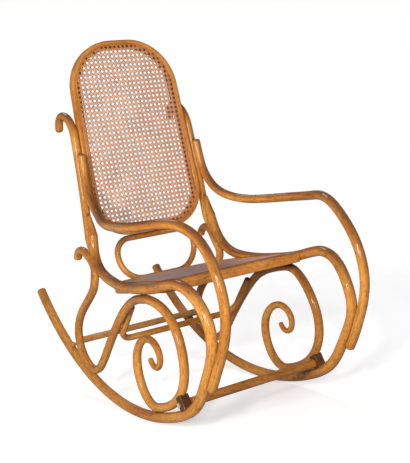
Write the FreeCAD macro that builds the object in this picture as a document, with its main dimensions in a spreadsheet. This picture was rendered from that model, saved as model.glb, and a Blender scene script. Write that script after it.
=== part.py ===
import FreeCAD, Part
import math
import os
from FreeCAD import Placement, Rotation, Vector

# Bentwood rocking chair with caned back and seat.
# Millimetres. The sitter faces -Y, +Z is up, and the sitter's left hand is at +X.
# The side frames are drawn in the chair's own axes: y grows from the front of the
# rockers to the back, z grows from the floor, and x is the distance from the middle.
# Every rod is a round stick bent along tangent arcs, so its route is a short list of
# points that the bend passes through.

SIZES = {
    # Rods
    "rail_diameter": 28.0,
    "arm_diameter": 25.0,
    "stile_diameter": 24.0,
    "scroll_diameter": 24.0,
    "scroll_tip_diameter": 14.0,
    "rail_scarf": 50.0,
    "rail_scarf_tip": 8.0,
    "stile_scarf": 40.0,
    "stile_scarf_tip": 5.0,
    "ring_diameter": 17.5,
    "bow_diameter": 18.0,
    "front_stretcher_diameter": 24.0,
    "rear_stretcher_diameter": 20.0,
    # Side frames
    "side_half": 215.0,
    "rocker_radius": 750.0,
    "rocker_middle": 526.0,
    "rail_bulge": 15.0,
    "arm_bulge": 53.0,
    "seat_gap": 0.3,
    # Back
    "back_half_bottom": 185.0,
    "back_half_top": 175.0,
    "back_height": 573.0,
    "back_top_radius": 147.0,
    "back_bottom_radius": 118.0,
    "back_width": 25.0,
    "back_thickness": 22.0,
    "back_lean": 20.5,
    "back_middle_y": 728.0,
    "back_middle_z": 715.0,
    "ring_width": 258.0,
    "ring_top_radius": 44.0,
    "ring_bottom_radius": 74.0,
    "ring_seat_drop": 6.0,
    # Seat
    "seat_front_y": 217.0,
    "seat_front_z": 455.0,
    "seat_slope": 19.0,
    "seat_thickness": 28.0,
    "seat_side_width": 38.0,
    "seat_front_radius": 42.0,
    "seat_rear_radius": 100.0,
    # Cane
    "cane_thickness": 1.6,
    "cane_lap": 12.0,
    "cane_window": 0.56,
    "spline_width": 4.0,
    "spline_depth": 5.0,
    "edge_round": 4.0,
    # Bow, stretchers and spacers
    "bow_bar_y": 495.0,
    "bow_bar_z": 190.0,
    "bow_corner_radius": 38.0,
    "bow_overrun": 10.0,
    "front_stretcher_y": 126.0,
    "front_stretcher_z": 161.0,
    "rear_stretcher_z": 108.0,
    "block_height": 26.0,
    "block_width": 26.0,
    "block_horn": 2.0,
    "block_round": 3.0,
    "bead_diameter": 17.0,
    "bead_seat": 1.5,
    "neck_diameter": 10.0,
    # Bolts and screws
    "bolt_diameter": 6.0,
    "bolt_length": 60.0,
    "bolt_head_diameter": 14.0,
    "bolt_head_height": 3.5,
    "screw_diameter": 4.0,
    "screw_length": 34.0,
    "spacer_screw_grip": 15.0,
    "screw_head_diameter": 7.5,
    "screw_head_height": 2.5,
    "screw_sink": 1.5,
    # The chair's attitude at rest and the middle of its length
    "rest_pitch": 11.9,
    "middle_y": 569.7,
}

doc = FreeCAD.newDocument("RockingChair")
sheet = doc.addObject("Spreadsheet::Sheet", "Sizes")
for row, (alias, value) in enumerate(SIZES.items(), start=1):
    sheet.set("A%d" % row, alias)
    sheet.set("B%d" % row, str(value))
    sheet.setAlias("B%d" % row, alias)
doc.recompute()


def size(alias):
    """A driving dimension, read back from the sheet."""
    return float(sheet.get(alias))


GAP = size("seat_gap")
SIDE = size("side_half")
RAIL_R = size("rail_diameter") / 2
ARM_R = size("arm_diameter") / 2
STILE_R = size("stile_diameter") / 2
SCROLL_R = size("scroll_diameter") / 2
RING_R = size("ring_diameter") / 2
BOW_R = size("bow_diameter") / 2
ROCKER_R = size("rocker_radius")
ROCKER_Y = size("rocker_middle")
ROCKER_Z = ROCKER_R + RAIL_R

# The whole chair turns about the rockers' centre, so the soles stay on the floor.
pitch = Rotation(Vector(1, 0, 0), size("rest_pitch"))
hub = Vector(0, ROCKER_Y, ROCKER_Z)
REST = Placement(hub - Vector(0, size("middle_y"), 0) - pitch.multVec(hub), pitch)


# Bent routes

def unit(vector):
    return vector / vector.Length


def route_tangents(points):
    """Direction of travel at each point: that of the circle through its neighbours."""
    tangents = [None] * len(points)
    for i in range(1, len(points) - 1):
        before = points[i] - points[i - 1]
        after = points[i + 1] - points[i]
        tangents[i] = unit(unit(before) * after.Length + unit(after) * before.Length)
    for end, beside in ((0, 1), (len(points) - 1, len(points) - 2)):
        chord = unit(points[beside] - points[end])
        tangents[end] = chord * (2 * tangents[beside].dot(chord)) - tangents[beside]
    return tangents


def tangent_arc(start, direction, end):
    """The arc that leaves start along direction and reaches end."""
    chord = end - start
    turn = chord.getAngle(direction)
    if turn < 1e-4:
        return Part.LineSegment(start, end).toShape()
    side = unit(chord - direction * chord.dot(direction))
    radius = chord.Length / (2 * math.sin(turn))
    middle = start + direction * (radius * math.sin(turn)) + side * (radius * (1 - math.cos(turn)))
    return Part.Arc(start, middle, end).toShape()


def bent_edges(points, tangents):
    """Two tangent arcs between each pair of points."""
    edges = []
    for i in range(len(points) - 1):
        span = points[i + 1] - points[i]
        both = tangents[i] + tangents[i + 1]
        a = 2 * (tangents[i].dot(tangents[i + 1]) - 1)
        b = -2 * span.dot(both)
        c = span.dot(span)
        if abs(a) < 1e-9:
            reach = -c / b
        else:
            reach = (-b - math.sqrt(b * b - 4 * a * c)) / (2 * a)
            if reach < 0:
                reach = (-b + math.sqrt(b * b - 4 * a * c)) / (2 * a)
        join = (points[i] + tangents[i] * reach + points[i + 1] - tangents[i + 1] * reach) / 2
        edges.append(tangent_arc(points[i], tangents[i], join))
        back = tangent_arc(points[i + 1], tangents[i + 1] * -1, join)
        edges.append(back)
    return edges


class Route:
    """A bend: its points, its direction at each point and its arcs.
    A point is (x, y, z), or (x, y, z, heading) where the bend's direction there is known:
    degrees in the side plane, from +Y towards +Z."""

    def __init__(self, points):
        self.points = [Vector(*point[:3]) for point in points]
        self.tangents = route_tangents(self.points)
        for i, point in enumerate(points):
            if len(point) > 3:
                self.tangents[i] = self.aimed(i, math.radians(point[3]))
        self.edges = bent_edges(self.points, self.tangents)

    def aimed(self, i, heading):
        """The direction at point i for a heading, with the neighbours' sideways drift."""
        ahead = self.points[min(i + 1, len(self.points) - 1)]
        behind = self.points[max(i - 1, 0)]
        run = math.hypot(ahead.y - behind.y, ahead.z - behind.z)
        drift = (ahead.x - behind.x) / run
        return unit(Vector(drift, math.cos(heading), math.sin(heading)))

    def heading(self, i):
        return math.degrees(math.atan2(self.tangents[i].z, self.tangents[i].y))

    def normal(self, i):
        """Square to the bend in the side plane: forward where the bend travels down."""
        return unit(self.tangents[i].cross(Vector(1, 0, 0)))

    def behind(self, i, back, z, heading):
        """A point of another bend at height z, so far behind this bend's point i."""
        return (self.points[i].x, self.points[i].y + back, z, heading)

    def between(self, i, share):
        """A point at a share of the straightish run from point i to the next, and the
        normal there. Half way is where its two arcs meet."""
        place = self.points[i] * (1 - share) + self.points[i + 1] * share
        return place, unit(self.normal(i) * (1 - share) + self.normal(i + 1) * share)

    def beside(self, i, distance):
        """A point of another bend that runs along this one at point i, at a distance in
        the side plane: above this bend, or in front of it, where the distance is positive
        and this bend travels forward or down."""
        return tuple(self.points[i] + self.normal(i) * distance) + (self.heading(i),)

    def against(self, i, distance):
        """As beside, for a bend that travels the other way."""
        x, y, z, heading = self.beside(i, distance)
        return (x, y, z, heading + 180)


def rocker(y):
    """Height of the rocker's centre line at y."""
    return ROCKER_Z - math.sqrt(ROCKER_R ** 2 - (y - ROCKER_Y) ** 2)


# The back's own frame: u across, v up the lean, w backwards through the thickness

LEAN = math.radians(size("back_lean"))
UP = Vector(0, math.sin(LEAN), math.cos(LEAN))
BACKWARD = Vector(0, math.cos(LEAN), -math.sin(LEAN))
BACK_MIDDLE = Vector(0, size("back_middle_y"), size("back_middle_z"))
BACK_T = size("back_thickness")
BACK_HALF = size("back_height") / 2


def on_back(u, v, w):
    return BACK_MIDDLE + Vector(u, 0, 0) + UP * v + BACKWARD * w


def back_side(v):
    """Half width of the back frame's straight side at height v."""
    low = -BACK_HALF + size("back_bottom_radius")
    high = BACK_HALF - size("back_top_radius")
    share = (v - low) / (high - low)
    return size("back_half_bottom") + share * (size("back_half_top") - size("back_half_bottom"))


# Stiles stand against the back frame's sides and curl backwards at the top.

def stile_at(v, w, heading):
    """A point of the stile at height v on the back, w behind the cane's face."""
    return tuple(on_back(back_side(v) + STILE_R + GAP, v, w)) + (heading,)


HOOK_X = back_side(60) + STILE_R + GAP
stile = Route([
    (HOOK_X, 846, 724, 60),
    (HOOK_X, 824, 774, 170),
    (HOOK_X, 772, 761, -143),
    stile_at(-37, 12, -110),
    stile_at(-75, 12, -108.5),
    stile_at(-130, 14, -107.5),
    stile_at(-210, 19, -105.5),
    stile_at(-260, 23, -105),
    stile_at(-295, 26, -104.5),
])
ARM_LAP, ARM_LAP_END, RAIL_LAP, RAIL_LAP_END = 3, 4, 6, 7

# The rail comes down the stile's front, sweeps forward under the sitter's elbow along
# the seat, drops over the front and runs back along the floor as the rocker.

BULGE = size("rail_bulge")
rail_gap = STILE_R + RAIL_R + GAP


def sole(share):
    """A point of the rocker, which is one arc of a circle, a share of its radius behind
    its middle."""
    y = ROCKER_Y + share * ROCKER_R
    return (SIDE, y, rocker(y), math.degrees(math.asin(share)))


# The rail's front comes down past the front stretcher and turns into the rocker behind it.
DROP = (SIDE, 11, 305, -71)
BAR_Y, BAR_Z = size("front_stretcher_y"), size("front_stretcher_z")
ROCKER_FRONT = sole((BAR_Y + 49 - ROCKER_Y) / ROCKER_R)


def on_drop(forward, down, heading):
    """A point between the rail's drop in front and the rocker's front end, as shares of
    the way along Y and Z."""
    return (SIDE, DROP[1] + forward * (ROCKER_FRONT[1] - DROP[1]),
            DROP[2] + down * (ROCKER_FRONT[2] - DROP[2]), heading)


rail = Route([
    stile.beside(RAIL_LAP, rail_gap),
    stile.beside(RAIL_LAP_END, rail_gap),
    (SIDE - 6, 597.5, 397.5, -134.5),
    (SIDE - 3, 500, 368, 177),
    (SIDE + BULGE * 0.13, 452, 373, 171),
    (SIDE + BULGE * 0.35, 402, 383, 166.5),
    (SIDE + BULGE * 0.75, 300, 412.5, 162.5),
    (SIDE + BULGE, 215, 445.5, 154),
    (SIDE + BULGE * 0.6, 105, 476.5, -172.5),
    (SIDE, 26, 425.5, -126.5),
    (SIDE, 1.5, 360, -92),
    DROP,
    on_drop(0.103, 0.22, -68.7),
    on_drop(0.291, 0.546, -57.5),
    (SIDE, BAR_Y - 21.028, BAR_Z - 15.98013, -37),
    ROCKER_FRONT,
    sole(-0.372),
    sole(-0.1013),
    sole(0.172),
    sole(0.4053),
    sole(0.6307),
])
BACK_BEND, SEAT_REAR_SIDE, SEAT_MIDDLE, SEAT_SIDE = 2, 4, 5, 6
FOOT_LAP, FOOT_LAP_END, BLOCK_FRONT, LOOP_SEAT, TURN_SEAT = 11, 12, 14, 16, 18

# The arm starts on the stile above the rail, sweeps out round the elbow and forward,
# and comes down to lap on the front of the rail.

ARM_BULGE = size("arm_bulge")
arm_gap = STILE_R + ARM_R + GAP
foot_gap = RAIL_R + ARM_R + GAP
arm = Route([
    stile.beside(ARM_LAP, arm_gap),
    stile.beside(ARM_LAP_END, arm_gap),
    (SIDE - 16, 655, 583, -131.5),
    (SIDE - 8, 590, 543.5, -164),
    (SIDE + ARM_BULGE * 0.2, 520, 536, 177.5),
    (SIDE + ARM_BULGE * 0.72, 409, 555, 165.5),
    (SIDE + ARM_BULGE, 302, 583, 165),
    (SIDE + ARM_BULGE * 0.7, 214, 608.5, 162.5),
    (SIDE + ARM_BULGE * 0.2, 128, 623.5, -177.5),
    (SIDE - 3, 60, 603, -150),
    (SIDE - 5, -10, 538, -125),
    (SIDE - 5, -45.5, 435, -91),
    (SIDE - 3, -33, 355, -73.5),
    rail.beside(FOOT_LAP, foot_gap),
    rail.beside(FOOT_LAP_END, foot_gap),
])

# The scroll leg hooks over behind the rail, falls to a tight turn on the rocker, rises
# to an arch under the seat rail, and comes round in a loop that ends in a spiral.

scroll_gap = RAIL_R + SCROLL_R + GAP
scroll = Route([
    (SIDE, 706, 372, 85),
    (SIDE, 668, 408, -175.5),
    rail.beside(BACK_BEND, -scroll_gap),
    (SIDE, 600.5, 343, -90.5),
    (SIDE, 615, 303, -53.5),
    (SIDE, 680.5, 227.5, -49),
    rail.behind(TURN_SEAT, 69, 128, -93.5),
    rail.behind(TURN_SEAT, 46, 77, -135),
    rail.against(TURN_SEAT, -scroll_gap),
    rail.behind(TURN_SEAT, -79, 86, 126.5),
    (SIDE, 508, 193, 122.5),
    (SIDE, 432, 300, 130),
    (SIDE, 387.5, 342.5, 144),
    rail.beside(SEAT_SIDE, -scroll_gap),
    (SIDE, 184, 365.5, -141),
    (SIDE, 124, 262, -97.5),
    (SIDE, BAR_Y + 13.5, BAR_Z + 23, -60),
    rail.beside(LOOP_SEAT, -scroll_gap),
    rail.behind(LOOP_SEAT, 90.5, 120.5, 52.5),
    rail.behind(LOOP_SEAT, 115, 190, 91),
    rail.behind(LOOP_SEAT, 73.5, 262.5, 148),
    rail.behind(LOOP_SEAT, 27, 272, -168.5),
    rail.behind(LOOP_SEAT, -7, 238, -98.5),
    rail.behind(LOOP_SEAT, 19, 204.5, -1),
    rail.behind(LOOP_SEAT, 43, 221.5, 72.5),
])
LEG_LOW, BOW_SEAT, BLOCK_SEAT, TAPER = 6, 11, 16, 19


# Flat outlines with rounded corners

def rounded(corners, radii, closed=True):
    """Lines and arcs of a polygon, or of an open path, whose corners are rounded."""
    count = len(corners)
    turns = []
    for i in range(count):
        corner = corners[i]
        if not closed and i in (0, count - 1):
            turns.append((corner, None, corner))
            continue
        back = unit(corners[i - 1] - corner)
        ahead = unit(corners[(i + 1) % count] - corner)
        half = back.getAngle(ahead) / 2
        reach = radii[i] / math.tan(half)
        centre = corner + unit(back + ahead) * (radii[i] / math.sin(half))
        middle = centre + unit(corner - centre) * radii[i]
        turns.append((corner + back * reach, middle, corner + ahead * reach))
    pieces = []
    for i, (start, middle, end) in enumerate(turns):
        if middle is not None:
            pieces.append(Part.Arc(start, middle, end))
        if closed or i < count - 1:
            pieces.append(Part.LineSegment(end, turns[(i + 1) % count][0]))
    return pieces


def inset(corners, distance):
    """The polygon whose sides lie a distance inside this one's. Corners run
    anticlockwise in the XY plane."""
    count = len(corners)
    moved = []
    for i in range(count):
        before = unit(corners[i] - corners[i - 1])
        after = unit(corners[(i + 1) % count] - corners[i])
        left_before = Vector(-before.y, before.x, 0)
        left_after = Vector(-after.y, after.x, 0)
        both = left_before + left_after
        moved.append(corners[i] + both * (distance / (1 + left_before.dot(left_after))))
    return moved


# Pieces

PARTS = []


def keep(piece, label, placement):
    """Names a sub-part, places it and keeps it for the export."""
    piece.Label = label
    piece.Placement = placement
    PARTS.append(piece)
    return piece


def spine(label, edges):
    path = doc.addObject("Part::Feature", label)
    path.Shape = Part.Wire(Part.__sortEdges__(edges))
    return path


def section(label, centre, direction, radius):
    """A round section, square to the rod, whose radius is bound to the sheet. Its seam
    lies between the rod's outer side and its edge, where no screw passes."""
    circle = doc.addObject("Part::Circle", label)
    circle.setExpression("Radius", radius)
    edgeways = direction.cross(Vector(1, 0, 0))
    if edgeways.Length < 0.01:
        edgeways = Vector(0, 1, 0)
    seam = unit(Vector(1, 0, 0) + unit(edgeways))
    circle.Placement = Placement(centre, Rotation(seam, Vector(), direction, "ZXY"))
    return circle


def swept(label, edges, sections):
    rod = doc.addObject("Part::Sweep", label)
    rod.Sections = sections
    rod.Spine = (spine(label + "_route", edges), [])
    rod.Solid = True
    doc.recompute()
    return rod


def eased(base, label, ends, radius):
    """The rod with the rims of its cut ends rounded. Ends are points on its route."""
    rims = []
    for i, edge in enumerate(base.Shape.Edges, start=1):
        near = min((edge.CenterOfMass - end).Length for end in ends)
        if edge.Closed and near < 0.5:
            rims.append((i, radius, radius))
    fillet = doc.addObject("Part::Fillet", label)
    fillet.Base = base
    fillet.Edges = rims
    doc.recompute()
    return fillet


def pair(piece, name):
    """The sub-part on the sitter's left and its mirror image on the right."""
    keep(piece, name + "_left", REST)
    right = doc.addObject("Part::Mirroring", name + "_right")
    right.Source = piece
    right.Normal = Vector(1, 0, 0)
    right.Label = name + "_right"
    PARTS.append(right)


def bent_rod(name, route, diameter, easing, ends):
    """A rod of one thickness on the sitter's left, with the rims of its listed ends
    eased."""
    first = section(name + "_section", route.points[0], route.tangents[0], "Sizes.%s / 2" % diameter)
    rod = swept(name + "_rod", route.edges, [first])
    return eased(rod, name + "_eased", [route.points[i] for i in ends], easing)


def scarfed(rod, name, end, inward, outward, radius):
    """The rod with its end cut on a slant, so that it fades into the rod it lies
    against. Outward points away from that rod."""
    tip = end + outward * (size(name + "_scarf_tip") - radius)
    slant = unit(end + inward * size(name + "_scarf") + outward * radius - tip)
    wedge = doc.addObject("Part::Box", name + "_wedge")
    wedge.Length, wedge.Width, wedge.Height = 3 * size(name + "_scarf"), 4 * radius, 3 * radius
    turn = Rotation(slant, Vector(), slant.cross(Vector(1, 0, 0)), "XZY")
    if turn.multVec(Vector(0, 0, 1)).dot(outward) < 0:
        turn = Rotation(slant, Vector(), Vector(1, 0, 0).cross(slant), "XZY")
    wedge.Placement = Placement(tip - turn.multVec(Vector(size(name + "_scarf"), 2 * radius, 0)), turn)
    cut = doc.addObject("Part::Cut", name + "_scarfed")
    cut.Base = rod
    cut.Tool = wedge
    doc.recompute()
    return cut


def fused(label, first, second):
    whole = doc.addObject("Part::Fuse", label)
    whole.Base = first
    whole.Tool = second
    doc.recompute()
    return whole


RODS = {
    "rail": bent_rod("rail", rail, "rail_diameter", 3.0, [-1]),
    "arm": bent_rod("arm", arm, "arm_diameter", ARM_R * 0.6, [0, -1]),
    "stile": bent_rod("stile", stile, "stile_diameter", STILE_R * 0.8, [0]),
}
RODS["rail"] = scarfed(RODS["rail"], "rail", rail.points[0], rail.tangents[0], rail.normal(0), RAIL_R)
RODS["stile"] = scarfed(RODS["stile"], "stile", stile.points[-1], stile.tangents[-1] * -1,
                        stile.normal(-1) * -1, STILE_R)

# The scroll thins from the loop's far side to the tip of the spiral.
scroll_start = section("scroll_section", scroll.points[0], scroll.tangents[0], "Sizes.scroll_diameter / 2")
scroll_body = swept("scroll_body", scroll.edges[:2 * TAPER], [scroll_start])
taper_start = section("taper_section", scroll.points[TAPER], scroll.tangents[TAPER], "Sizes.scroll_diameter / 2")
taper_end = section("tip_section", scroll.points[-1], scroll.tangents[-1], "Sizes.scroll_tip_diameter / 2")
scroll_taper = swept("scroll_taper", scroll.edges[2 * TAPER:], [taper_start, taper_end])
scroll_ends = [scroll.points[0], scroll.points[-1]]
TIP_EASING = size("scroll_tip_diameter") * 0.35
RODS["scroll"] = eased(fused("scroll_whole", scroll_body, scroll_taper), "scroll_eased", scroll_ends, TIP_EASING)


# Bodies padded from outlines

def body_plane(body, role):
    for feature in body.Origin.OriginFeatures:
        if feature.Role == role:
            return feature


def sketch_on(body, name, outlines, height=0.0):
    """A sketch on the body's XY plane, at a height, that holds closed outlines."""
    sketch = body.newObject("Sketcher::SketchObject", name)
    sketch.AttachmentSupport = [(body_plane(body, "XY_Plane"), "")]
    sketch.MapMode = "FlatFace"
    sketch.AttachmentOffset = Placement(Vector(0, 0, height), Rotation())
    for outline in outlines:
        sketch.addGeometry(outline, False)
    return sketch


def padded(body, name, outlines, length, height=0.0):
    """A pad that grows downwards from the sketch's plane."""
    pad = body.newObject("PartDesign::Pad", name)
    pad.Profile = sketch_on(body, name + "_sketch", outlines, height)
    pad.Reversed = True
    pad.setExpression("Length", length)
    doc.recompute()
    return pad


def pocketed(body, name, outlines, length=None):
    """A pocket that cuts downwards, right through where no length is given."""
    pocket = body.newObject("PartDesign::Pocket", name)
    pocket.Profile = sketch_on(body, name + "_sketch", outlines)
    if length is None:
        pocket.Type = "ThroughAll"
    else:
        pocket.setExpression("Length", length)
    before = body.Shape.Volume
    doc.recompute()
    assert body.Shape.Volume < before - 1, name
    return pocket


def rounded_frame(name, corners, radii, thickness, width):
    """A bent frame: its outline, its opening and its rounded rims, before the cane's
    seat is cut into its face. Its face lies in the body's XY plane."""
    body = doc.addObject("PartDesign::Body", name)
    opening = rounded(inset(corners, width), [radius - width for radius in radii])
    blank = padded(body, name + "_blank", [rounded(corners, radii), opening], thickness)
    foot = corners[0].y
    rims = ["Edge%d" % i for i, edge in enumerate(blank.Shape.Edges, start=1)
            if abs(edge.CenterOfMass.x) < 0.01 and abs(edge.CenterOfMass.y - foot) < 0.01]
    fillet = body.newObject("PartDesign::Fillet", name + "_round")
    fillet.Base = (blank, rims)
    fillet.setExpression("Radius", "Sizes.edge_round")
    doc.recompute()
    return body


def windows(outline, across, along):
    """Square-set windows that stand for the open weave of the cane, in rows and columns
    that fill the outline. Windows that would cross its rounded corners are left out."""
    face = Part.Face(Part.Wire([piece.toShape() for piece in outline]))
    box = face.BoundBox
    step_x, step_y = box.XLength / across, box.YLength / along
    half_x, half_y = step_x * size("cane_window") / 2, step_y * size("cane_window") / 2
    lines = []
    for column in range(across):
        for row in range(along):
            x = box.XMin + (column + 0.5) * step_x
            y = box.YMin + (row + 0.5) * step_y
            corners = [Vector(x - half_x, y - half_y, 0), Vector(x + half_x, y - half_y, 0),
                       Vector(x + half_x, y + half_y, 0), Vector(x - half_x, y + half_y, 0)]
            if all(face.isInside(corner, 0.01, True) for corner in corners):
                lines += [Part.LineSegment(corners[i - 1], corners[i]) for i in range(4)]
    return lines


def caned(name, corners, radii, thickness, width, across, along):
    """The frame with a shallow seat for the cane and a groove for the spline, the cane
    in its seat and the spline in its groove. The cane has windows across and along."""
    lap = width - size("cane_lap")
    groove = lap + size("spline_width")
    frame = rounded_frame(name + "_frame_body", corners, radii, thickness, width)
    seat = rounded(inset(corners, groove), [radius - groove for radius in radii])
    pocketed(frame, name + "_cane_seat", [seat], "Sizes.cane_thickness")
    outer = rounded(inset(corners, lap), [radius - lap for radius in radii])
    pocketed(frame, name + "_groove", [outer, seat], "Sizes.spline_depth")
    cane = doc.addObject("PartDesign::Body", name + "_cane")
    trim = groove + GAP
    padded(cane, name + "_sheet", [rounded(inset(corners, trim), [r - trim for r in radii])],
           "Sizes.cane_thickness")
    clear = width + size("cane_thickness")
    inner = rounded(inset(corners, clear), [r - clear for r in radii])
    pocketed(cane, name + "_weave", [windows(inner, across, along)])
    spline = doc.addObject("PartDesign::Body", name + "_spline")
    rim = lap + GAP
    hole = groove - GAP
    padded(spline, name + "_reed", [rounded(inset(corners, rim), [r - rim for r in radii]),
                                    rounded(inset(corners, hole), [r - hole for r in radii])],
           "Sizes.spline_depth")
    return frame, cane, spline


# Back frame: its face is the plane u, v, and its thickness runs backwards

def trapezium(half_low, half_high, low, high):
    return [Vector(-half_low, low, 0), Vector(half_low, low, 0),
            Vector(half_high, high, 0), Vector(-half_high, high, 0)]


BACK_PLACE = Placement(BACK_MIDDLE, Rotation(Vector(1, 0, 0), UP, BACKWARD * -1, "ZXY"))
back_corners = trapezium(back_side(-BACK_HALF), back_side(BACK_HALF), -BACK_HALF, BACK_HALF)
back_radii = [size("back_bottom_radius")] * 2 + [size("back_top_radius")] * 2
back_frame, back_cane, back_spline = caned("back", back_corners, back_radii,
                                           "Sizes.back_thickness", size("back_width"), 8, 12)
back_frame.Placement = BACK_PLACE
keep(back_cane, "back_cane", REST * BACK_PLACE)
keep(back_spline, "back_spline", REST * BACK_PLACE)

# Seat frame: its top is the plane of x and of the run backwards along the slope. Its
# sides touch the rails at the front and where the rails turn up, and its back touches
# the ring.

SLOPE = math.radians(size("seat_slope"))
SEAT_BACK = Vector(0, math.cos(SLOPE), -math.sin(SLOPE))
SEAT_UP = Vector(0, math.sin(SLOPE), math.cos(SLOPE))
SEAT_FRONT = Vector(0, size("seat_front_y"), size("seat_front_z"))

# The ring's lower bar runs along the seat's rear edge, a little below the seat's top.
ring_drop = SEAT_UP.dot(on_back(0, 0, BACK_T / 2) - SEAT_FRONT) + size("ring_seat_drop")
ring_low = -ring_drop / UP.dot(SEAT_UP)
SEAT_DEPTH = (on_back(0, ring_low, BACK_T / 2) - SEAT_FRONT).dot(SEAT_BACK) - RING_R - GAP


def rail_inside(i):
    """Depth along the seat and half width of the rail's inner side at its point i."""
    point = rail.points[i]
    return (point - SEAT_FRONT).dot(SEAT_BACK), point.x - RAIL_R - GAP


near_depth, near_half = rail_inside(SEAT_SIDE)
far_depth, far_half = rail_inside(SEAT_REAR_SIDE)
taper = (near_half - far_half) / (far_depth - near_depth)
seat_corners = trapezium(near_half + taper * near_depth, near_half + taper * (near_depth - SEAT_DEPTH),
                         0, SEAT_DEPTH)
seat_radii = [size("seat_front_radius")] * 2 + [size("seat_rear_radius")] * 2
SEAT_PLACE = Placement(SEAT_FRONT, Rotation(Vector(1, 0, 0), SEAT_BACK, SEAT_UP, "ZXY"))
seat_frame, seat_cane, seat_spline = caned("seat", seat_corners, seat_radii,
                                           "Sizes.seat_thickness", size("seat_side_width"), 9, 8)
seat_frame.Placement = SEAT_PLACE
keep(seat_cane, "seat_cane", REST * SEAT_PLACE)
keep(seat_spline, "seat_spline", REST * SEAT_PLACE)

# Ring between the back frame's lower edge and the seat's rear edge, in the back's plane

ring_high = -BACK_HALF - GAP - RING_R
ring_half = size("ring_width") / 2
ring_corners = [on_back(u, v, BACK_T / 2) for u, v in ((-ring_half, ring_low), (ring_half, ring_low),
                                                     (ring_half, ring_high), (-ring_half, ring_high))]
ring_room = (ring_high - ring_low) / (size("ring_bottom_radius") + size("ring_top_radius"))
ring_low_radius, ring_high_radius = [size("ring_%s_radius" % end) * min(1.0, ring_room * 0.97)
                                     for end in ("bottom", "top")]
ring_path = [piece.toShape() for piece in rounded(ring_corners, [ring_low_radius] * 2 + [ring_high_radius] * 2)]
ring_start = ring_path[1]
ring_section = section("ring_section", ring_start.valueAt(ring_start.FirstParameter),
                       ring_start.tangentAt(ring_start.FirstParameter), "Sizes.ring_diameter / 2")
ring = swept("ring", ring_path, [ring_section])

# Bow: a U on the inner sides of the scrolls, whose bar runs across under the seat

bow_x = SIDE - SCROLL_R - BOW_R - GAP
bow_bar = Vector(0, size("bow_bar_y"), size("bow_bar_z"))
bow_seat = Vector(0, scroll.points[BOW_SEAT].y, scroll.points[BOW_SEAT].z)
bow_rise = unit(bow_seat - bow_bar)
bow_top = bow_seat + bow_rise * (BOW_R + size("bow_overrun"))
bow_corners = [bow_top + Vector(bow_x, 0, 0), bow_bar + Vector(bow_x, 0, 0),
               bow_bar - Vector(bow_x, 0, 0), bow_top - Vector(bow_x, 0, 0)]
bow_path = [piece.toShape() for piece in rounded(bow_corners, [size("bow_corner_radius")] * 4, False)]
bow_section = section("bow_section", bow_corners[0], bow_rise * -1, "Sizes.bow_diameter / 2")
bow_ends = [bow_corners[0], bow_corners[-1]]
bow = eased(swept("bow_rod", bow_path, [bow_section]), "bow_eased", bow_ends, BOW_R * 0.4)


# Stretchers, blocks and turned spacers

def cylinder(label, radius, length, at, direction):
    """A cylinder from a point along a direction, with its sizes bound to the sheet."""
    piece = doc.addObject("Part::Cylinder", label)
    piece.setExpression("Radius", radius)
    piece.setExpression("Height", length)
    piece.Placement = Placement(at, Rotation(Vector(0, 0, 1), direction))
    return piece


def sleeve(label, route, first, last, diameter):
    """The rod between two of its points, thicker by the gap: what a piece is hollowed
    with to sit against the rod."""
    start = section(label + "_section", route.points[first], route.tangents[first],
                    "Sizes.%s / 2 + Sizes.seat_gap" % diameter)
    return swept(label, route.edges[2 * first:2 * last], [start])


def compound(label, pieces):
    group = doc.addObject("Part::Compound", label)
    group.Links = pieces
    return group


def mirrored(label, piece):
    copy = doc.addObject("Part::Mirroring", label)
    copy.Source = piece
    copy.Normal = Vector(1, 0, 0)
    return copy


ACROSS = Vector(1, 0, 0)
HOLLOWS = {name: [] for name in ("rail", "arm", "stile", "scroll", "back_frame", "seat_frame", "ring_brace",
                                 "bow", "front_stretcher", "rear_stretcher", "front_block", "rear_spacer")}

# Each front block stands between the rail and the scroll and carries a stretcher's end.
block_rail = rail.points[BLOCK_FRONT]
block_scroll = scroll.points[BLOCK_SEAT]
block_axis = unit(block_scroll - block_rail)
horn = size("block_width") / 2 - size("block_horn")
rail_reach = math.sqrt((RAIL_R + GAP) ** 2 - horn ** 2)
scroll_reach = math.sqrt((SCROLL_R + GAP) ** 2 - horn ** 2)
block_rotation = Rotation(ACROSS, block_axis.cross(ACROSS), block_axis, "ZXY")
block_corner = block_rail + block_axis * rail_reach - block_rotation.multVec(
    Vector(size("block_width") / 2, size("block_height") / 2, 0))
block_blank = doc.addObject("Part::Box", "front_block_blank")
block_blank.setExpression("Length", "Sizes.block_width")
block_blank.setExpression("Width", "Sizes.block_height")
block_blank.Height = (block_scroll - block_rail).Length - rail_reach - scroll_reach
block_blank.Placement = Placement(block_corner, block_rotation)
doc.recompute()
long_edges = [i for i, edge in enumerate(block_blank.Shape.Edges, start=1)
              if abs(edge.Curve.Direction.dot(block_axis)) > 0.99]
front_block = doc.addObject("Part::Fillet", "front_block_eased")
front_block.Base = block_blank
front_block.Edges = [(i, size("block_round"), size("block_round")) for i in long_edges]
doc.recompute()
HOLLOWS["front_block"] = [
    sleeve("block_rail_sleeve", rail, BLOCK_FRONT - 1, BLOCK_FRONT + 1, "rail_diameter"),
    sleeve("block_scroll_sleeve", scroll, BLOCK_SEAT - 1, BLOCK_SEAT + 1, "scroll_diameter"),
]

stretcher_end = Vector(SIDE - size("block_width") / 2 - GAP, BAR_Y, BAR_Z)
front_stretcher = cylinder("front_stretcher_rod", "Sizes.front_stretcher_diameter / 2",
                           "2 * Sizes.side_half - Sizes.block_width - 2 * Sizes.seat_gap",
                           stretcher_end, ACROSS * -1)

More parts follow.
